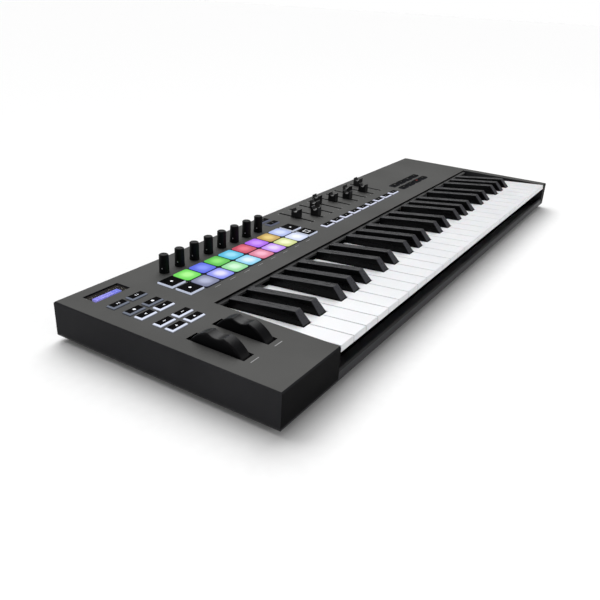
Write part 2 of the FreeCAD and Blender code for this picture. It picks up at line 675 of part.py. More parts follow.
def make_keymats():
    """The silicone sheets that the pads and buttons are moulded with, under the panel."""
    places = rows_of_buttons()
    groups = [places["function_buttons"], places["fader_buttons"], places["transport_buttons"],
              places["device_buttons"], pad_places() + places["launch_buttons"]]
    corners = [("column_a", "function_row_5", "column_b", "function_row_1", "button"),
               ("fader_first", "fader_button_row", f"fader_first + {FADERS - 1}*control_pitch",
                "fader_button_row", "button"),
               ("transport_first", "transport_row", "transport_first + 3*control_pitch",
                "transport_row + transport_rows_gap", "button"),
               ("device_column", "device_row", "device_column", "device_row + device_rows_gap", "button"),
               ("pad_first - launch_gap", "pad_row", f"pad_first + {PAD_COLUMNS - 1}*pad_pitch + launch_gap",
                "pad_row + pad_pitch", "pad")]
    sheets = []
    low = f"({PANEL_LOW} - mat_thick)"
    for group, (left, front, right, back, kind) in zip(groups, corners):
        half_long = "(button_long/2 + mat_edge)" if kind == "button" else "(pad_size/2 + mat_edge)"
        half_deep = "(button_short/2 + mat_edge)" if kind == "button" else "(pad_size/2 + mat_edge)"
        mat = box(f"{left} - {half_long}", f"{front} - {half_deep}", low,
                  f"({right}) - ({left}) + 2*{half_long}", f"({back}) - ({front}) + 2*{half_deep}",
                  "mat_thick")
        sheets.append(cut(mat, windows(group, f"{low} - 1", "mat_thick + 2")))
    return settle(compound(sheets), "silicone_keymats")


# ---------------------------------------------------------------- knobs

def make_encoders():
    encoders = []
    for i in range(KNOBS):
        x = f"knob_first + {i}*knob_pitch"
        can = box(f"{x} - encoder_size/2", "knob_row - encoder_size/2", BOARD_TOP, "encoder_size",
                  "encoder_size", f"{PANEL_LOW} - {BOARD_TOP}")
        shaft = rod("Z", x, "knob_row", BOARD_TOP, "shaft_radius", "shaft_rise + board_drop")
        encoders.append(fuse([can, shaft]))
    return settle(compound(encoders), "knob_encoders")


def make_knob(i):
    """A tall, slightly tapered knob with a fine grip, and the bore that sits on the shaft."""
    body = new_body(f"knob_{i + 1}")
    bind(body, Placement__Base__x=f"knob_first + {i}*knob_pitch - {CASE_LENGTH}/2",
         Placement__Base__y="knob_row - case_depth/2")
    low = "(case_height + knob_gap)"
    top = "(case_height + knob_height)"
    side = outline(body, "XZ", 0, [
        (0, low), ("knob_low_radius", low), ("knob_low_radius", f"{low} + skirt_high"),
        ("knob_low_radius - skirt_step", f"{low} + skirt_high + skirt_step"),
        ("knob_top_radius", f"{top} - knob_bevel"),
        ("knob_top_radius - knob_bevel", top), ("knob_top_radius - crown_edge", top),
        ("knob_top_radius - crown_edge - crown_dish", f"{top} - crown_dish"), (0, f"{top} - crown_dish")])
    turned = body.newObject("PartDesign::Revolution", "Turned")
    turned.Profile = side
    turned.ReferenceAxis = (side, ["V_Axis"])
    turned.Angle = 360
    bore = disc(body, "XY", f"{low} - 1", 0, 0, "shaft_radius + shaft_play")
    pocket(body, bore, "shaft_rise - knob_gap + 1.5")
    groove = body.newObject("PartDesign::Pocket", "Flute")
    groove.Profile = disc(body, "XY", f"{low} + grip_low", "knob_low_radius + 0.05", 0, "grip_radius")
    groove.Reversed = True
    bind(groove, Length=f"{top} - {low} - grip_low - 2*knob_bevel")
    doc.recompute()
    flutes = body.newObject("PartDesign::PolarPattern", "Flutes")
    flutes.Originals = [groove]
    flutes.Axis = (side, ["V_Axis"])
    flutes.Angle = 360
    flutes.Occurrences = 20
    body.Tip = flutes
    doc.recompute()


# ---------------------------------------------------------------- faders

def make_fader_tracks():
    """Slide potentiometers under the panel, each with a channel for its lever."""
    tracks = []
    for i in range(FADERS):
        x = f"fader_first + {i}*control_pitch"
        can = box(f"{x} - track_width/2", "slot_front - track_end", f"{PANEL_LOW} - track_thick",
                  "track_width", "slot_length + 2*track_end", "track_thick")
        channel = box(f"{x} - slot_width/2", "slot_front", f"{PANEL_LOW} - track_thick + track_floor",
                      "slot_width", "slot_length", "track_thick")
        tracks.append(cut(can, [channel]))
    return settle(compound(tracks), "fader_tracks")


def make_fader_cap(i):
    """A cap with a ridge at each end and a saddle for the finger, on a flat stem."""
    body = new_body(f"fader_cap_{i + 1}")
    centre = f"(fader_first + {i}*control_pitch)"
    middle = f"(slot_front + {FADER_REST[i]})"
    low = "(case_height + cap_gap)"
    top = "(case_height + cap_gap + cap_height)"
    side = outline(body, "YZ", f"{centre} - cap_width/2", [
        (f"{middle} - cap_length/2", low), (f"{middle} + cap_length/2", low),
        (f"{middle} + cap_top_length/2", top), (f"{middle} - cap_top_length/2", top)])
    pad(body, side, "cap_width")
    pocket(body, disc(body, "YZ", f"{centre} - cap_width/2 - 1", middle,
                      f"{top} - saddle_depth + saddle_radius", "saddle_radius"), "cap_width + 2")
    crown = body.Tip.Shape.BoundBox.ZMax
    soften(body, "cap_round", lambda edge: level(edge, crown) and edge.BoundBox.XLength > 1)
    stem_low = f"({PANEL_LOW} - track_thick + track_floor + 1)"
    pad(body, rectangle(body, "XY", stem_low, f"{centre} - stem_width/2", f"{middle} - stem_length/2",
                        "stem_width", "stem_length"), f"{low} - {stem_low} + 1")
    doc.recompute()


# ---------------------------------------------------------------- wheels

def make_wheel(label, centre):
    """A sector of a wheel with two bumps and a finger dip between them, on a bored hub."""
    left = f"{centre} - wheel_width/2"
    drum = doc.addObject("Part::Cylinder", "Drum")
    bind(drum, Radius="wheel_radius", Height="wheel_width", Angle="2*wheel_half_arc",
         Placement__Base__x=left, Placement__Base__y="wheel_row", Placement__Base__z=WHEEL_AXIS)
    along_x = FreeCAD.Rotation(FreeCAD.Vector(0, 1, 0), 90)
    drum.Placement.Rotation = FreeCAD.Rotation(
        FreeCAD.Vector(1, 0, 0), 180 - number("wheel_half_arc")).multiply(along_x)
    dip = rod("X", f"{left} - 1", "wheel_row", "case_height + dip_rise", "dip_radius", "wheel_width + 2")
    tread = cut(drum, [dip])
    rim = number("wheel_radius")
    axis_y = number("wheel_row")
    axis_z = number("case_height") - number("wheel_sink")

    def on_rim(edge):
        spot = edge.CenterOfMass
        flat = edge.BoundBox.XMax - edge.BoundBox.XMin < 1e-4
        reach = math.hypot(edge.Vertexes[0].Y - axis_y, edge.Vertexes[0].Z - axis_z)
        return flat and spot.z > axis_z + 8 and reach > rim * 0.6 and edge.Curve.TypeId != "Part::GeomLine"

    tread = rounded(tread, "edge_bevel", on_rim)
    hub = rod("X", left, "wheel_row", WHEEL_AXIS, "hub_radius", "wheel_width")
    bore = rod("X", f"{left} - 1", "wheel_row", WHEEL_AXIS, "axle_radius + axle_play", "wheel_width + 2")
    return settle(cut(fuse([tread, hub]), [bore]), label)


def make_wheel_axle():
    left = "wheel_first - wheel_width/2 - bracket_gap - bracket_thick"
    right = "wheel_second + wheel_width/2 + bracket_gap + bracket_thick"
    return settle(rod("X", left, "wheel_row", WHEEL_AXIS, "axle_radius", f"{right} - ({left})"), "wheel_axle")


def make_wheel_bracket():
    """Plates at each side of the wheels that hold the axle, joined by a wall behind them."""
    back = "wheel_row + wheel_radius + 2"
    plates = []
    for side in ("wheel_first - wheel_width/2 - bracket_gap - bracket_thick",
                 "(wheel_first + wheel_second)/2 - bracket_thick/2",
                 "wheel_second + wheel_width/2 + bracket_gap"):
        plates.append(box(side, "wheel_row - bracket_reach", "base_thick", "bracket_thick",
                          f"{back} - wheel_row + bracket_reach", f"{BRACKET_TOP} - base_thick"))
    left = "wheel_first - wheel_width/2 - bracket_gap - bracket_thick"
    right = "wheel_second + wheel_width/2 + bracket_gap + bracket_thick"
    plates.append(box(left, back, "base_thick", f"{right} - ({left})", "bracket_thick",
                      f"{BRACKET_TOP} - base_thick"))
    hole = rod("X", f"{left} - 1", "wheel_row", WHEEL_AXIS, "axle_radius", f"{right} - ({left}) + 2")
    return settle(cut(fuse(plates), [hole]), "wheel_bracket")


# ---------------------------------------------------------------- display, boards and sockets

def make_display():
    window = box("display_left", "display_front", "case_height - display_recess - window_thick",
                 "display_length", "display_depth", "window_thick")
    settle(window, "display_window")
    middle_x = "display_left + display_length/2"
    middle_y = "display_front + display_depth/2"
    module = box(f"{middle_x} - screen_length/2", f"{middle_y} - screen_depth/2", BOARD_TOP, "screen_length",
                 "screen_depth", "board_drop - display_recess - window_thick")
    settle(module, "display_module")


def make_control_board():
    """The board under the panel, with a tongue beside the key well and windows for the fader tracks."""
    low = f"{BOARD_TOP} - board_thick"
    end = "transport_first + 3*control_pitch + button_long"
    rear = box("wall + 4", "well_back + 7", low, f"{end} - wall - 4",
               "case_depth - socket_deep - 2 - well_back - 7", "board_thick")
    tongue = box("wall + 4", "wheel_row + wheel_radius + 8", low, "key_start - 2*wall - 9",
                 "well_back - wheel_row - wheel_radius", "board_thick")
    gaps = [box(f"fader_first + {i}*control_pitch - track_width/2", "slot_front - track_end", f"{low} - 1",
                "track_width", "slot_length + 2*track_end", "board_thick + 2") for i in range(FADERS)]
    return settle(cut(fuse([rear, tongue]), gaps), "control_board")


def make_main_board():
    """The board that carries the sockets, on the base."""
    left = "usb_place - board_left"
    front = "frame_back + board_space"
    right = "pedal_place + board_right"
    rear = "case_depth - wall - stud_inset - board_space"
    board = box(left, front, "main_board_low", f"{right} - ({left})", f"{rear} - ({front})", "board_thick")
    posts = [box(x, y, "base_thick", "stud_size", "stud_size", "main_board_low - base_thick")
             for x in (f"{left} + stud_inset", f"{right} - stud_inset - stud_size")
             for y in (f"{front} + stud_inset", f"{rear} - stud_inset - stud_size")]
    return settle(fuse([board] + posts), "main_board")


def make_sockets():
    """Socket housings whose mouths are flush with the back of the case."""
    back = "case_depth - socket_deep"
    usb = box("usb_place - usb_width/2", back, SOCKET_LOW, "usb_width", "socket_deep",
              f"socket_middle + usb_width/2 - {SOCKET_LOW}")
    usb_cavity = box("usb_place - usb_mouth/2", f"{back} + 3", "socket_middle - usb_high/2", "usb_mouth",
                     "socket_deep", "usb_high")
    tongue = box("usb_place - tongue_width/2", f"{back} + 2.5", "socket_middle - tongue_high/2",
                 "tongue_width", "tongue_deep", "tongue_high")
    settle(fuse([cut(usb, [usb_cavity]), tongue]), "usb_socket")

    midi = box("midi_place - midi_width/2", back, SOCKET_LOW, "midi_width", "socket_deep",
               f"socket_middle + midi_width/2 - {SOCKET_LOW}")
    midi_cavity = rod("Y", "midi_place", f"{back} + 4", "socket_middle", "midi_radius", "socket_deep")
    pins = []
    for k in range(5):
        turn = math.radians(180 + 45 * k)
        pins.append(rod("Y", f"midi_place + pin_circle*{math.cos(turn):.4f}", f"{back} + 1.5",
                        f"socket_middle + pin_circle*{math.sin(turn):.4f}", "pin_radius", "socket_deep"))
    settle(cut(midi, [midi_cavity] + pins), "midi_socket")

    pedal_back = "case_depth - pedal_deep - 3"
    pedal = box("pedal_place - pedal_width/2", pedal_back, SOCKET_LOW, "pedal_width", "pedal_deep + 3",
                f"socket_middle + pedal_width/2 - {SOCKET_LOW}")
    bore = rod("Y", "pedal_place", f"{pedal_back} + 3", "socket_middle", "pedal_radius", "pedal_deep + 1")
    settle(cut(pedal, [bore]), "pedal_socket")


# ---------------------------------------------------------------- the whole keyboard

def make_all():
    make_top_case()
    make_bottom_case()
    make_feet()
    make_screws()
    make_key_frame()
    make_pivot_rod()
    make_stop_felt()
    make_contact_board()
    make_contact_domes()
    make_dust_strip()
    make_keys()
    make_drum_pads()
    for label, group in rows_of_buttons().items():
        make_button_caps(label, group)
    make_keymats()
    make_encoders()
    for i in range(KNOBS):
        make_knob(i)
    make_fader_tracks()
    for i in range(FADERS):
        make_fader_cap(i)
    make_wheel("pitch_wheel", "wheel_first")
    make_wheel("mod_wheel", "wheel_second")
    make_wheel_axle()
    make_wheel_bracket()
    make_display()
    make_control_board()
    make_main_board()
    make_sockets()
    doc.recompute()


def check_all():
    """Stops on any object that failed, and on any sub-part that isn't a sound solid."""
    for thing in doc.Objects:
        if "Invalid" in thing.State or "Error" in thing.State:
            raise RuntimeError(f"{thing.Name} failed: {thing.State}")
    for thing in parts:
        if thing.Shape.isNull() or not thing.Shape.isValid() or not thing.Shape.Solids:
            raise RuntimeError(f"{thing.Label} is not a sound solid")


make_all()
check_all()
os.makedirs("parts", exist_ok=True)
for thing in parts:
    thing.Shape.exportStep(f"parts/{thing.Label}.step")
print(len(parts), "sub-parts written")
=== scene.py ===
import bmesh
import bpy
import math
from mathutils import Matrix, Vector


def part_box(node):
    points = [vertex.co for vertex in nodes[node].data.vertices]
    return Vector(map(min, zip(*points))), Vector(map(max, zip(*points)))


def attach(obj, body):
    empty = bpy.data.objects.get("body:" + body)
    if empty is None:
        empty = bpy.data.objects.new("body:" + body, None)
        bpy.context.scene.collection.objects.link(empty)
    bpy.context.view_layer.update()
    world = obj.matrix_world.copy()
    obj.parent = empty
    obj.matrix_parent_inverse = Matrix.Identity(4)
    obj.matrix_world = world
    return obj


# A 49-key controller keyboard in a plain pale studio. Metres, in the CAD frame: X along the case, Y from
# the player to the back, Z up from the surface that the feet stand on.

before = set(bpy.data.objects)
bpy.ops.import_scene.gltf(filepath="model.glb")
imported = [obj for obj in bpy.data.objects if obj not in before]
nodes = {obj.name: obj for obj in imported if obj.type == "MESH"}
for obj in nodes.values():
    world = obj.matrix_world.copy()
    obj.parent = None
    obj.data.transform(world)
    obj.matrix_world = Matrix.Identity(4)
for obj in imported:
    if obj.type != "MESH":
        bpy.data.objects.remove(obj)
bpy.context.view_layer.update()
case_low, case_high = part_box("top_case")
panel_top = case_high.z

MM = 0.001
KNOBS = 8
PAD_COLUMNS = 8
# the transport button with the red dot, counted by columns from the left, the front one first
RECORD_BUTTON = 4
# boxes closer than this belong to one solid
TOUCH = 1e-6
# edges that turn by more degrees than this stay sharp
SHARP_FROM = 30
# how far print lies in its surface and stands out of it, on the controls and on the panel
PRINT_SINK, PRINT_RISE = 0.02 * MM, 0.06 * MM
MARK_SINK, MARK_RISE = 0.01 * MM, 0.05 * MM
# the way an arrow points, in quarter turns
RIGHT, UP, LEFT, DOWN = range(4)
# the world's strength on the object, and what is added to it where the camera sees the world itself
WORLD_LEVEL, WORLD_ADDED = 0.22, 0.78


# ---------------------------------------------------------------- reading the frame

def islands(name):
    """(lowest corner, highest corner) of every separate solid in a CAD node, from left to right."""
    mesh = nodes[name].data
    home = list(range(len(mesh.vertices)))

    def root_of(i):
        while home[i] != i:
            home[i] = home[home[i]]
            i = home[i]
        return i

    for edge in mesh.edges:
        a, b = (root_of(i) for i in edge.vertices)
        home[a] = b
    boxes = {}
    for i, vertex in enumerate(mesh.vertices):
        boxes.setdefault(root_of(i), []).append(vertex.co)
    found = []
    for points in boxes.values():
        low = Vector((min(p[k] for p in points) for k in range(3)))
        high = Vector((max(p[k] for p in points) for k in range(3)))
        found.append((low, high))
    return merge_touching(found)


def merge_touching(found):
    """Faces of one solid may be loose in the mesh, so boxes that overlap are joined."""
    merged = []
    for low, high in found:
        low, high = low.copy(), high.copy()
        again = True
        while again:
            again = False
            for other in merged:
                if all(low[k] <= other[1][k] + TOUCH and high[k] >= other[0][k] - TOUCH for k in range(3)):
                    merged.remove(other)
                    low = Vector((min(low[k], other[0][k]) for k in range(3)))
                    high = Vector((max(high[k], other[1][k]) for k in range(3)))
                    again = True
                    break
        merged.append((low, high))
    return sorted(merged, key=lambda pair: (round(pair[0].x, 4), round(pair[0].y, 4)))


def middle_of(pair):
    return (pair[0] + pair[1]) / 2


# ---------------------------------------------------------------- colours and shader graphs

def linear(red, green, blue):
    """A display colour of 0 to 255 as the linear colour that shaders take."""
    def one(value):
        share = value / 255
        return share / 12.92 if share <= 0.04045 else ((share + 0.055) / 1.055) ** 2.4
    return (one(red), one(green), one(blue), 1)


class Graph:
    """A material's node tree, with short calls for the nodes that the materials share."""

    def __init__(self, name):
        self.material = bpy.data.materials.new(name)
        self.material.use_nodes = True
        self.tree = self.material.node_tree
        self.tree.nodes.clear()
        self.output = self.tree.nodes.new("ShaderNodeOutputMaterial")
        self.shader = self.tree.nodes.new("ShaderNodeBsdfPrincipled")
        self.join(self.shader.outputs[0], self.output.inputs["Surface"])
        place = self.tree.nodes.new("ShaderNodeTexCoord")
        self.place = place.outputs["Object"]

    def join(self, source, target):
        self.tree.links.new(source, target)

    def set(self, **values):
        for name, value in values.items():
            socket = self.shader.inputs[name.replace("_", " ")]
            if hasattr(value, "is_output"):
                self.join(value, socket)
            else:
                socket.default_value = value
        return self

    def math(self, operation, *values):
        node = self.tree.nodes.new("ShaderNodeMath")
        node.operation = operation
        for socket, value in zip(node.inputs, values):
            if hasattr(value, "is_output"):
                self.join(value, socket)
            else:
                socket.default_value = value
        return node.outputs[0]

    def axes(self):
        node = self.tree.nodes.new("ShaderNodeSeparateXYZ")
        self.join(self.place, node.inputs[0])
        return node.outputs

    def facing(self):
        """How far the surface faces along X, Y and Z."""
        geometry = self.tree.nodes.new("ShaderNodeNewGeometry")
        split = self.tree.nodes.new("ShaderNodeSeparateXYZ")
        self.join(geometry.outputs["Normal"], split.inputs[0])
        return split.outputs

    def facing_up(self, start=0.78, full=0.93):
        """1 where the surface faces up, 0 on its sides; start and full are how far up it must face."""
        return self.ramp(self.facing()[2], [(start, grey(0)), (full, grey(1))])

    def facing_player(self):
        """1 where the surface faces the player, 0 elsewhere."""
        towards = self.math("MULTIPLY", self.facing()[1], -1.0)
        return self.ramp(towards, [(0.6, grey(0)), (0.9, grey(1))])

    def within(self, value, middle, half):
        """1 where the value is less than half away from middle, 0 elsewhere."""
        return self.math("LESS_THAN", self.math("ABSOLUTE", self.math("SUBTRACT", value, middle)), half)

    def noise(self, size, detail=3.0, rough=0.5, stretch=(1, 1, 1)):
        """Noise whose lumps are about size metres across."""
        scale = self.tree.nodes.new("ShaderNodeMapping")
        scale.inputs["Scale"].default_value = stretch
        self.join(self.place, scale.inputs["Vector"])
        node = self.tree.nodes.new("ShaderNodeTexNoise")
        node.inputs["Scale"].default_value = 1 / size
        node.inputs["Detail"].default_value = detail
        node.inputs["Roughness"].default_value = rough
        self.join(scale.outputs[0], node.inputs["Vector"])
        return node.outputs["Fac"]

    def ramp(self, source, stops, steps=False):
        """Colours at the stops' positions; steps holds each one up to the next stop."""
        node = self.tree.nodes.new("ShaderNodeValToRGB")
        node.color_ramp.interpolation = "CONSTANT" if steps else "LINEAR"
        elements = node.color_ramp.elements
        while len(elements) < len(stops):
            elements.new(0.5)
        for element, (position, _) in zip(elements, stops):
            element.position = position
        for element, (_, colour) in zip(elements, stops):
            element.color = colour
        self.join(source, node.inputs[0])
        return node.outputs[0]

    def mix(self, share, first, second, blend="MIX"):
        """Two colours blended; inputs 6 and 7 and output 2 are the node's colour sockets."""
        node = self.tree.nodes.new("ShaderNodeMix")
        node.data_type = "RGBA"
        node.blend_type = blend
        for socket, value in ((node.inputs[0], share), (node.inputs[6], first), (node.inputs[7], second)):
            if hasattr(value, "is_output"):
                self.join(value, socket)
            else:
                socket.default_value = value
        return node.outputs[2]

    def bump(self, height, strength, distance, edge=0.0):
        """A bump over softened edges, for the shader's normal."""
        node = self.tree.nodes.new("ShaderNodeBump")
        node.inputs["Strength"].default_value = strength
        node.inputs["Distance"].default_value = distance
        self.join(height, node.inputs["Height"])
        if edge:
            soft = self.tree.nodes.new("ShaderNodeBevel")
            soft.samples = 4
            soft.inputs["Radius"].default_value = edge
            self.join(soft.outputs[0], node.inputs["Normal"])
        return node.outputs[0]


def grey(level):
    return (level, level, level, 1)


def tint(colour, share):
    """A colour made darker or lighter by a share."""
    return tuple(min(1, value * share) for value in colour[:3]) + (1,)


def moulded(name, colour, rough, grain, depth, edge=0.0, spread=0.12, sheen=0.0, shine=0.12):
    """Moulded plastic or rubber: fine grain, slow shifts of tone, and gloss that varies with the grain.

    grain and depth are the width and height of its texture and edge the radius of its softened edges."""
    graph = Graph(name)
    slow = graph.noise(0.035, 2.0)
    fine = graph.noise(grain, 4.0, 0.6)
    tone = graph.ramp(slow, [(0.3, tint(colour, 1 - spread)), (0.7, tint(colour, 1 + spread))])
    speck = graph.ramp(fine, [(0.3, grey(0.82)), (0.7, grey(1))])
    gloss = graph.ramp(fine, [(0.25, grey(rough * 0.88)), (0.75, grey(min(1, rough * 1.12)))])
    graph.set(Base_Color=graph.mix(1, tone, speck, "MULTIPLY"), Roughness=gloss,
              Normal=graph.bump(fine, 0.35, depth, edge))
    graph.set(Specular_IOR_Level=shine, Sheen_Weight=sheen)
    return graph


# ---------------------------------------------------------------- materials

def panel_material():
    """The case: a satin grey top face over darker sides, the front ones darkest; both darker tones are
    painted shade.
    """
    graph = Graph("case_plastic")
    fine = graph.noise(0.00045, 4.0, 0.65)
    slow = graph.noise(0.09, 3.0)
    top = graph.ramp(slow, [(0.3, linear(80, 80, 79)), (0.7, linear(88, 88, 87))])
    # painted shade: the sides are darker than the top, and the faces towards the player darker still
    side = graph.ramp(slow, [(0.3, linear(42, 42, 44)), (0.7, linear(50, 50, 52))])
    front = graph.ramp(slow, [(0.3, linear(13, 13, 14)), (0.7, linear(16, 16, 17))])
    walls = graph.mix(graph.facing_player(), side, front)
    colour = graph.mix(graph.facing_up(), walls, top)
    speck = graph.ramp(fine, [(0.3, grey(0.86)), (0.7, grey(1))])
    gloss = graph.ramp(fine, [(0.25, grey(0.42)), (0.75, grey(0.55))])
    graph.set(Base_Color=graph.mix(1, colour, speck, "MULTIPLY"), Roughness=gloss,
              Normal=graph.bump(fine, 0.3, 0.00008, 0.0003), Specular_IOR_Level=0.02)
    return graph.material


def white_key_material():
    """Satin white plastic with a faint moulding texture and a soft depth to it."""
    graph = Graph("white_key")
    slow = graph.noise(0.05, 2.0)
    fine = graph.noise(0.0012, 3.0)
    colour = graph.ramp(slow, [(0.3, linear(229, 230, 233)), (0.7, linear(236, 237, 239))])
    gloss = graph.ramp(fine, [(0.3, grey(0.2)), (0.7, grey(0.28))])
    graph.set(Base_Color=colour, Roughness=gloss, Normal=graph.bump(fine, 0.12, 0.00003, 0.0003),
              Subsurface_Weight=0.08, Subsurface_Scale=0.0008, Specular_IOR_Level=0.15)
    return graph.material


def black_key_material():
    """Satin black plastic: near black sides, a top made paler with painted highlight streaks, and a sloping
    front made palest, a painted highlight.
    """
    graph = Graph("black_key")
    fine = graph.noise(0.0006, 4.0, 0.6)
    # painted highlight: pale streaks along the top and a paler sloping front stand in for reflected light
    highlight_streak_noise = graph.noise(0.0016, 3.0, stretch=(1, 0.06, 1))
    painted_highlight_streaks = graph.ramp(highlight_streak_noise, [(0.3, linear(20, 20, 22)), (0.7, linear(42, 42, 45))])
    top = graph.mix(graph.facing_up(0.85, 0.95), linear(66, 66, 70), painted_highlight_streaks)
    graph.set(Base_Color=graph.mix(graph.facing_up(0.3, 0.6), linear(4, 4, 5), top),
              Roughness=graph.ramp(highlight_streak_noise, [(0.35, grey(0.24)), (0.65, grey(0.4))]),
              Normal=graph.bump(fine, 0.35, 0.00005, 0.0008), Specular_IOR_Level=0.14)
    return graph.material


# the colour near each pad's edge and at its middle, from left to right, front row first
PAD_GLOW = [
    ((112, 117, 148), (176, 182, 212)), ((112, 124, 236), (232, 228, 255)),
    ((134, 216, 146), (212, 252, 218)), ((122, 205, 240), (226, 246, 255)),
    ((214, 108, 138), (250, 182, 206)), ((184, 124, 244), (236, 216, 255)),
    ((204, 214, 130), (246, 251, 206)), ((204, 214, 244), (246, 249, 255)),
    ((92, 214, 68), (176, 255, 146)), ((74, 94, 224), (128, 148, 252)),
    ((74, 184, 60), (138, 232, 112)), ((60, 184, 224), (154, 227, 250)),
    ((192, 58, 84), (236, 112, 136)), ((164, 84, 234), (208, 148, 255)),
    ((184, 148, 68), (236, 206, 122)), ((164, 180, 234), (216, 226, 255))]


def pad_material():
    """Translucent silicone lit from below: a hot middle, a deeper edge, and one colour to each pad."""
    graph = Graph("pad_silicone")
    pads = islands("drum_pads")
    count = len(PAD_GLOW)
    first = pads[0][0]
    wide = pads[0][1].x - first.x
    pitch_x = pads[2][0].x - first.x
    pitch_y = pads[1][0].y - first.y
    x, y, _ = graph.axes()
    across = graph.math("DIVIDE", graph.math("SUBTRACT", x, first.x - (pitch_x - wide) / 2), pitch_x)
    along = graph.math("DIVIDE", graph.math("SUBTRACT", y, first.y - (pitch_y - wide) / 2), pitch_y)
    column = graph.math("FLOOR", across)
    row = graph.math("MINIMUM", graph.math("MAXIMUM", graph.math("FLOOR", along), 0.0), 1.0)
    number = graph.math("MULTIPLY_ADD", row, float(PAD_COLUMNS), column)
    place = graph.math("DIVIDE", graph.math("ADD", number, 0.5), float(count))
    edge = graph.ramp(place, [(i / count, linear(*glow[0])) for i, glow in enumerate(PAD_GLOW)], True)
    core = graph.ramp(place, [(i / count, linear(*glow[1])) for i, glow in enumerate(PAD_GLOW)], True)
    u = graph.math("SUBTRACT", graph.math("FRACT", across), 0.5)
    v = graph.math("SUBTRACT", graph.math("FRACT", along), 0.5)
    reach = graph.math("SQRT", graph.math("ADD", graph.math("MULTIPLY", u, u), graph.math("MULTIPLY", v, v)))
    share = graph.ramp(reach, [(0.0, grey(1)), (0.16, grey(0.9)), (0.38, grey(0.2)), (0.62, grey(0))])
    rim = graph.ramp(graph.math("MAXIMUM", graph.math("ABSOLUTE", u), graph.math("ABSOLUTE", v)),
                     [(0.452, grey(0)), (0.486, grey(1))])
    walls = graph.math("MAXIMUM", rim, graph.math("SUBTRACT", 1.0, graph.facing_up(0.35, 0.8)))
    glow = graph.mix(walls, graph.mix(share, edge, core), linear(22, 24, 34))
    fine = graph.noise(0.0005, 3.0)
    cloud = graph.noise(0.006, 3.0)
    soft = graph.ramp(cloud, [(0.3, grey(0.93)), (0.7, grey(1))])
    lit = graph.mix(1, glow, soft, "MULTIPLY")
    graph.set(Base_Color=graph.mix(0.06, grey(0.01), glow), Emission_Color=lit, Emission_Strength=0.95,
              Roughness=0.5, Normal=graph.bump(fine, 0.25, 0.00006), Specular_IOR_Level=0.1)
    return graph.material


def button_material(name, bright, dim_from=None, foot=1.0):
    """A black printed top over translucent walls that glow; walls behind dim_from glow less.

    foot is the share of the glow that is left where the walls meet the panel, a painted shade at their foot."""
    graph = Graph(name)
    up = graph.facing_up()
    fine = graph.noise(0.0005, 3.0)
    _, y, z = graph.axes()
    lit = linear(*bright)
    if dim_from is None:
        wall = graph.ramp(graph.noise(0.004, 2.0), [(0.3, tint(lit, 0.86)), (0.7, lit)])
    else:
        dim = linear(118, 124, 138)
        behind = graph.math("GREATER_THAN", y, dim_from)
        wall = graph.mix(behind, lit, dim)
    wall_height = 2 * MM
    height = graph.math("DIVIDE", graph.math("SUBTRACT", z, panel_top), wall_height)
    # painted shade: the glow of the walls falls off towards the panel
    painted_foot_shade = graph.ramp(height, [(0.2, grey(foot)), (0.5, grey(1))])
    lamp = graph.mix(1, wall, painted_foot_shade, "MULTIPLY")
    glow = graph.mix(graph.facing_up(0.9, 0.97), lamp, grey(0))
    skin = graph.ramp(fine, [(0.3, linear(3, 3, 3)), (0.7, linear(6, 6, 7))])
    body = graph.mix(1, lamp, grey(0.4), "MULTIPLY")
    gloss = graph.ramp(fine, [(0.3, grey(0.42)), (0.7, grey(0.55))])
    graph.set(Base_Color=graph.mix(up, body, skin), Emission_Color=glow, Emission_Strength=0.75,
              Specular_IOR_Level=0.005, Roughness=gloss, Normal=graph.bump(fine, 0.2, 0.00005))
    return graph.material


def screen_material():
    """A lit liquid-crystal screen: blue-violet, with two rows of plain cells that are a little paler."""
    graph = Graph("display_lit")
    low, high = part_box("display_module")
    cells, lines = 16.0, 2.0
    x, y, _ = graph.axes()
    across = graph.math("DIVIDE", graph.math("SUBTRACT", x, low.x), high.x - low.x)
    along = graph.math("DIVIDE", graph.math("SUBTRACT", y, low.y), high.y - low.y)
    cell = graph.math("FRACT", graph.math("MULTIPLY", across, cells))
    line = graph.math("FRACT", graph.math("MULTIPLY", along, lines))
    inside = graph.math("MULTIPLY", graph.within(cell, 0.5, 0.36), graph.within(line, 0.5, 0.3))
    used = graph.math("MULTIPLY", inside, graph.within(across, 0.45, 0.26))
    wash = graph.ramp(across, [(0.0, linear(146, 140, 252)), (0.5, linear(124, 122, 246)),
                               (1.0, linear(112, 126, 240))])
    face = graph.mix(graph.math("MULTIPLY", used, 0.35), wash, linear(225, 228, 255))
    graph.set(Base_Color=(0.01, 0.01, 0.02, 1), Emission_Color=face, Emission_Strength=1.6, Roughness=0.3)
    return graph.material


def window_material():
    """A tinted clear window with a faint smear in its gloss."""
    graph = Graph("display_glass")
    smear = graph.noise(0.012, 3.0, stretch=(1, 3, 1))
    gloss = graph.ramp(smear, [(0.3, grey(0.06)), (0.7, grey(0.13))])
    tone = graph.ramp(smear, [(0.3, linear(58, 55, 52)), (0.7, linear(66, 63, 59))])
    graph.set(Base_Color=tone, Roughness=gloss, Alpha=0.42, Specular_IOR_Level=0.05)
    return graph.material


def metal_material(name, colour, rough):
    """Brushed metal, its marks drawn out along X."""
    graph = Graph(name)
    brushed = graph.noise(0.0008, 4.0, 0.6, stretch=(0.08, 1, 1))
    tone = graph.ramp(brushed, [(0.3, tint(colour, 0.88)), (0.7, colour)])
    gloss = graph.ramp(brushed, [(0.3, grey(rough * 0.8)), (0.7, grey(rough * 1.2))])
    graph.set(Base_Color=tone, Metallic=1.0, Roughness=gloss, Normal=graph.bump(brushed, 0.2, 0.00002))
    return graph.material


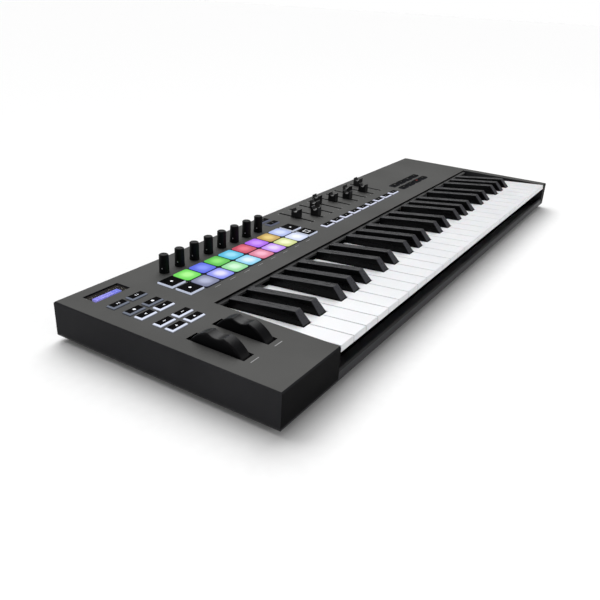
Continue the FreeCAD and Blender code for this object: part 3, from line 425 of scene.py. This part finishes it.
def board_material():
    """Solder mask over copper: green, with lighter tracks."""
    graph = Graph("circuit_board")
    wave = graph.tree.nodes.new("ShaderNodeTexWave")
    wave.inputs["Scale"].default_value = 190
    wave.inputs["Distortion"].default_value = 5
    graph.join(graph.place, wave.inputs["Vector"])
    tone = graph.ramp(wave.outputs["Fac"], [(0.45, linear(12, 58, 30)), (0.55, linear(24, 88, 46))])
    gloss = graph.ramp(graph.noise(0.003), [(0.3, grey(0.3)), (0.7, grey(0.42))])
    graph.set(Base_Color=tone, Roughness=gloss)
    return graph.material


def felt_material():
    """Black felt: coarse, matt and a little fuzzy."""
    return moulded("felt", linear(14, 14, 14), rough=0.95, grain=0.0004, depth=0.0003, spread=0.3,
                   sheen=0.4).material


def ink_material():
    """White print, a little uneven, with a faint painted glow."""
    graph = Graph("print")
    speck = graph.noise(0.0004, 2.0)
    tone = graph.ramp(speck, [(0.3, linear(205, 207, 210)), (0.7, linear(232, 233, 236))])
    # painted glow: the print emits a little light of its own
    graph.set(Base_Color=tone, Roughness=0.6, Emission_Color=linear(220, 224, 235), Emission_Strength=0.35)
    return graph.material


def plain_ink_material(name, red, green, blue):
    """Print that doesn't glow, a little uneven."""
    graph = Graph(name)
    speck = graph.noise(0.0004, 2.0)
    colour = linear(red, green, blue)
    tone = graph.ramp(speck, [(0.3, tint(colour, 0.74)), (0.7, colour)])
    graph.set(Base_Color=tone, Roughness=0.6, Specular_IOR_Level=0.2)
    return graph.material


def dress_nodes():
    """Gives every CAD node its finished material."""
    rows = sorted({round(middle_of(pair).y, 3) for pair in islands("function_buttons")})
    # the rows from the fourth one back are dimmer than those in front of them
    dim_from = (rows[2] + rows[3]) / 2
    dark = moulded("frame_plastic", linear(1, 1, 1), rough=0.7, grain=0.0006, depth=0.00006, edge=0.0003,
                   shine=0.01).material
    black = moulded("socket_plastic", linear(14, 14, 15), rough=0.45, grain=0.0005, depth=0.00004,
                    edge=0.0002).material
    steel = metal_material("steel", linear(190, 190, 192), 0.28)
    board = board_material()
    felt = felt_material()
    whites = white_key_material()
    blacks = black_key_material()
    knob = moulded("knob_plastic", linear(8, 8, 9), rough=0.5, grain=0.0004, depth=0.00006, edge=0.0003,
                   shine=0.1).material
    fader = moulded("fader_plastic", linear(11, 11, 13), rough=0.3, grain=0.0005, depth=0.00004,
                    edge=0.0003, shine=0.42).material
    wheel = moulded("wheel_rubber", linear(5, 5, 8), rough=0.34, grain=0.0004, depth=0.00008,
                    edge=0.0008, sheen=0.02, shine=0.13).material
    base = moulded("base_plastic", linear(33, 33, 36), rough=0.5, grain=0.0006, depth=0.00008,
                   edge=0.0003, shine=0.3).material
    silicone = moulded("silicone", linear(120, 122, 126), rough=0.6, grain=0.0006, depth=0.00005).material
    mat = moulded("mat_silicone", linear(30, 30, 32), rough=0.6, grain=0.0006, depth=0.00005).material
    rubber = moulded("rubber", linear(22, 22, 22), rough=0.8, grain=0.0007, depth=0.0001).material
    looks = {
        "top_case": panel_material(),
        "bottom_case": base,
        "key_frame": dark, "wheel_bracket": dark, "midi_socket": black, "pedal_socket": black,
        "key_pivot_rod": steel, "wheel_axle": steel, "fader_tracks": black, "knob_encoders": steel,
        "usb_socket": metal_material("socket_metal", linear(200, 200, 202), 0.3),
        "case_screws": metal_material("screw_steel", linear(60, 60, 62), 0.4),
        "control_board": board, "main_board": board, "key_contact_board": board,
        "key_contact_domes": silicone, "rubber_feet": rubber, "silicone_keymats": mat,
        "key_stop_felt": felt, "dust_strip": felt,
        "display_window": window_material(), "display_module": screen_material(),
        "drum_pads": pad_material(), "pitch_wheel": wheel, "mod_wheel": wheel,
        "function_buttons": button_material("button_function", (226, 232, 250), dim_from, foot=0.25),
        "launch_buttons": button_material("button_launch", (205, 212, 232)),
        "fader_buttons": button_material("button_fader", (226, 230, 250), foot=0.25),
        "transport_buttons": button_material("button_transport", (34, 35, 38)),
        "device_buttons": button_material("button_device", (96, 100, 118))}
    for name, node in nodes.items():
        if name.startswith("knob_") and name != "knob_encoders":
            looks[name] = knob
        elif name.startswith("fader_cap"):
            looks[name] = fader
        elif name.endswith("sharp_keys"):
            looks[name] = blacks
        elif name.endswith("_keys") or name == "top_c_key":
            looks[name] = whites
        node.data.materials.clear()
        node.data.materials.append(looks[name])
        smooth_by_angle(node)


def smooth_by_angle(piece):
    """Smooth shading that keeps the sharp edges."""
    mesh = piece.data
    for face in mesh.polygons:
        face.use_smooth = True
    mesh.set_sharp_from_angle(angle=math.radians(SHARP_FROM))


# ---------------------------------------------------------------- small added pieces

def mesh_of(name, bm):
    """A new mesh from what was drawn in bm."""
    mesh = bpy.data.meshes.new(name)
    bm.to_mesh(mesh)
    bm.free()
    return mesh


def new_piece(name, mesh, body, material):
    """A piece that moves with a body."""
    piece = bpy.data.objects.new(name, mesh)
    bpy.context.scene.collection.objects.link(piece)
    mesh.materials.append(material)
    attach(piece, body)
    return piece


def plate(bm, points, low, high):
    """A thin printed shape: a flat outline with a little height and closed sides."""
    bottom = [bm.verts.new((x, y, low)) for x, y in points]
    top = [bm.verts.new((x, y, high)) for x, y in points]
    count = len(points)
    bm.faces.new(list(reversed(bottom)))
    bm.faces.new(top)
    for i in range(count):
        j = (i + 1) % count
        bm.faces.new((bottom[i], bottom[j], top[j], top[i]))


def ring_points(x, y, radius, count=14):
    """A round dot's outline."""
    return [(x + radius * math.cos(2 * math.pi * i / count), y + radius * math.sin(2 * math.pi * i / count))
            for i in range(count)]


def bar_points(x, y, long, wide):
    """A rectangle's outline, long along X and wide along Y."""
    return [(x - long / 2, y - wide / 2), (x + long / 2, y - wide / 2), (x + long / 2, y + wide / 2),
            (x - long / 2, y + wide / 2)]


def arrow_points(x, y, size, turn):
    """A triangle that points along +X, turned by quarter turns."""
    tail, half = size * 0.7, size * 0.8
    corners = [(size, 0), (-tail, half), (-tail, -half)]
    cosine, sine = math.cos(turn * math.pi / 2), math.sin(turn * math.pi / 2)
    return [(x + cx * cosine - cy * sine, y + cx * sine + cy * cosine) for cx, cy in corners]


def add_symbols(name, body, pick, material):
    """Prints one generic symbol on each button of a group; pick gives a button's list of outlines."""
    bm = bmesh.new()
    for i, pair in enumerate(islands(body)):
        spot = middle_of(pair)
        for points in pick(i, spot.x, spot.y):
            plate(bm, points, pair[1].z - PRINT_SINK, pair[1].z + PRINT_RISE)
    new_piece(name, mesh_of(name, bm), body, material)


def launch_symbol(i, x, y):
    """Dots on the left pair; a square outline and an arrow on the right pair."""
    side, line, long, short = 3.6 * MM, 0.9 * MM, 8 * MM, 6.2 * MM
    square = [bar_points(x, y - side, long, line), bar_points(x, y + side, long, line),
              bar_points(x - side, y, line, short), bar_points(x + side, y, line, short)]
    dot = [ring_points(x, y, 1.5 * MM)]
    kinds = [dot, dot, square, [arrow_points(x, y, 2 * MM, RIGHT)]]
    return kinds[i]


def function_symbol(i, x, y):
    """Arrows, a bar, a dot and a pair of bars in turn."""
    kinds = [
        [arrow_points(x, y, 1.5 * MM, UP)], [bar_points(x, y, 3.4 * MM, 0.7 * MM)],
        [arrow_points(x, y, 1.5 * MM, LEFT)], [ring_points(x, y, 1.6 * MM)],
        [bar_points(x - 1.2 * MM, y, 0.8 * MM, 2.4 * MM), bar_points(x + 1.2 * MM, y, 0.8 * MM, 2.4 * MM)]]
    return kinds[i % len(kinds)]


def fader_symbol(i, x, y):
    """The same short bar on every button."""
    return [bar_points(x, y, 3 * MM, 0.7 * MM)]


def record_symbol(i, x, y):
    """A red dot on one transport button only."""
    return [ring_points(x, y, 1.7 * MM)] if i == RECORD_BUTTON else []


def transport_symbol(i, x, y):
    """Arrows and a square in turn, and none on the button with the red dot."""
    if i == RECORD_BUTTON:
        return []
    apart = 1.2 * MM
    kinds = [
        [arrow_points(x - apart, y, 1.3 * MM, LEFT), arrow_points(x + apart, y, 1.3 * MM, LEFT)],
        [bar_points(x, y, 2.8 * MM, 2.8 * MM)],
        [arrow_points(x - apart, y, 1.3 * MM, RIGHT), arrow_points(x + apart, y, 1.3 * MM, RIGHT)],
        [arrow_points(x, y, 1.7 * MM, RIGHT)]]
    return kinds[i % len(kinds)]


def device_symbol(i, x, y):
    """An arrow up and an arrow down in turn."""
    return [arrow_points(x, y, 1.6 * MM, (UP, DOWN)[i % 2])]


def add_knob_dot(name, material):
    """A small domed dot low on a knob's side, for the direction it points."""
    dot_radius, dot_height, sunk, flatness = 0.75 * MM, 5.2 * MM, 0.25 * MM, 0.35
    low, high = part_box(name)
    centre = (low + high) / 2
    radius = (high.x - low.x) / 2
    outward = Vector((-0.95, -0.31, 0)).normalized()
    bm = bmesh.new()
    bmesh.ops.create_uvsphere(bm, u_segments=16, v_segments=8, radius=dot_radius)
    for vertex in bm.verts:
        vertex.co.z *= flatness
    turn = outward.to_track_quat("Z", "Y").to_matrix().to_4x4()
    spot = Vector((centre.x, centre.y, low.z + dot_height)) + outward * (radius - sunk)
    bmesh.ops.transform(bm, matrix=Matrix.Translation(spot) @ turn, verts=bm.verts)
    dot = new_piece(name + "_dot", mesh_of(name + "_dot", bm), name, material)
    smooth_by_angle(dot)


def add_panel_marks(material):
    """Short plain dashes where the controls have captions, and three ticks beside each fader's slot."""
    bm = bmesh.new()
    low, high = panel_top - MARK_SINK, panel_top + MARK_RISE
    for name in ("pitch_wheel", "mod_wheel"):
        box_low, box_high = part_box(name)
        spot = (box_low + box_high) / 2
        plate(bm, bar_points(spot.x, box_low.y - 3.6 * MM, 11 * MM, 0.8 * MM), low, high)
    front_pads = islands("drum_pads")[::2]
    for pair in front_pads:
        spot = middle_of(pair)
        plate(bm, bar_points(spot.x, pair[0].y - 5 * MM, 9 * MM, 0.5 * MM), low, high)
    tick_side, tick_long, tick_wide = 5.2 * MM, 2.4 * MM, 0.35 * MM
    for pair in islands("fader_tracks"):
        spot = middle_of(pair)
        for share in (0.08, 0.5, 0.92):
            y = pair[0].y + (pair[1].y - pair[0].y) * share
            for side in (-1, 1):
                plate(bm, bar_points(spot.x + side * tick_side, y, tick_long, tick_wide), low, high)
    new_piece("panel_marks", mesh_of("panel_marks", bm), "root", material)


# ---------------------------------------------------------------- studio

def add_floor():
    """A wide sheet of white paper."""
    bm = bmesh.new()
    bmesh.ops.create_grid(bm, x_segments=2, y_segments=2, size=12)
    mesh = mesh_of("floor", bm)
    floor = bpy.data.objects.new("floor", mesh)
    bpy.context.scene.collection.objects.link(floor)
    graph = Graph("floor_paper")
    fibre = graph.noise(0.01, 3.0)
    tone = graph.ramp(fibre, [(0.3, grey(0.93)), (0.7, grey(0.95))])
    graph.set(Base_Color=tone, Roughness=0.9, Specular_IOR_Level=0.0)
    mesh.materials.append(graph.material)


def place_lamp(name, data, place, direction):
    """Puts a light in the scene, shining along direction."""
    lamp = bpy.data.objects.new(name, data)
    bpy.context.scene.collection.objects.link(lamp)
    lamp.location = place
    lamp.rotation_mode = "QUATERNION"
    lamp.rotation_quaternion = direction.to_track_quat("-Z", "Y")


def add_sun(name, towards, angle, strength):
    """A soft distant light; towards is the direction it comes from."""
    data = bpy.data.lights.new(name, "SUN")
    data.angle = math.radians(angle)
    data.energy = strength
    place_lamp(name, data, (0, 0, 0), -Vector(towards))


def add_area(name, place, aim, size, energy):
    """A soft box at a place, turned to its aim."""
    data = bpy.data.lights.new(name, "AREA")
    data.shape = "RECTANGLE"
    data.size, data.size_y = size
    data.energy = energy
    place_lamp(name, data, place, Vector(aim) - Vector(place))


def add_light():
    """An even pale world, two soft suns from behind and above, and soft boxes in front and at the left."""
    world = bpy.data.worlds.new("studio")
    bpy.context.scene.world = world
    world.use_nodes = True
    background = world.node_tree.nodes["Background"]
    background.inputs["Color"].default_value = grey(1)
    path = world.node_tree.nodes.new("ShaderNodeLightPath")
    level = world.node_tree.nodes.new("ShaderNodeMath")
    level.operation = "MULTIPLY_ADD"
    level.inputs[1].default_value = WORLD_ADDED
    level.inputs[2].default_value = WORLD_LEVEL
    world.node_tree.links.new(path.outputs["Is Camera Ray"], level.inputs[0])
    world.node_tree.links.new(level.outputs[0], background.inputs["Strength"])
    add_sun("key_light", towards=(-0.1, 0.6, 0.8), angle=30, strength=0.7)
    add_sun("soft_light", towards=(0.5, 0.4, 0.8), angle=55, strength=2.6)
    add_area("front_fill", place=(0.3, -1.6, 0.5), aim=(0.1, 0, 0), size=(2.4, 0.8), energy=7.5)
    add_area("left_fill", place=(-1.8, 0.4, 0.6), aim=(-0.3, 0, 0), size=(1.2, 0.8), energy=2.5)


def add_camera():
    """A view from beyond the left front corner, looking along the case, slightly rolled."""
    azimuth, elevation, roll = math.radians(-58.52), math.radians(25.27), math.radians(2.9)
    distance = 0.7238
    corner = Vector((case_low.x, case_low.y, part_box("bottom_case")[0].z))
    target = corner + Vector((0.2112, 0.1177, 0))
    back = Vector((math.sin(azimuth) * math.cos(elevation), -math.cos(azimuth) * math.cos(elevation),
                   math.sin(elevation)))
    data = bpy.data.cameras.new("camera")
    data.sensor_width = 36
    data.lens = 39.32
    data.clip_start, data.clip_end = 0.01, 50
    camera = bpy.data.objects.new("camera", data)
    bpy.context.scene.collection.objects.link(camera)
    camera.location = target + back * distance
    camera.rotation_mode = "QUATERNION"
    upright = (-back).to_track_quat("-Z", "Y")
    camera.rotation_quaternion = upright @ Matrix.Rotation(roll, 3, "Z").to_quaternion()
    bpy.context.scene.camera = camera


# ---------------------------------------------------------------- the scene

bpy.context.scene.view_settings.view_transform = "Standard"
add_camera()
dress_nodes()
white_ink_painted_glow = ink_material()
grey_ink = plain_ink_material("grey_print", 165, 165, 166)
faint_ink = plain_ink_material("faint_print", 62, 62, 62)
red_ink = plain_ink_material("red_print", 150, 34, 30)
add_symbols("launch_symbols", "launch_buttons", launch_symbol, white_ink_painted_glow)
add_symbols("function_symbols", "function_buttons", function_symbol, white_ink_painted_glow)
add_symbols("fader_symbols", "fader_buttons", fader_symbol, grey_ink)
add_symbols("transport_symbols", "transport_buttons", transport_symbol, faint_ink)
add_symbols("record_symbol", "transport_buttons", record_symbol, red_ink)
add_symbols("device_symbols", "device_buttons", device_symbol, faint_ink)
for number in range(1, KNOBS + 1):
    add_knob_dot(f"knob_{number}", grey_ink)
add_panel_marks(grey_ink)
add_floor()
add_light()
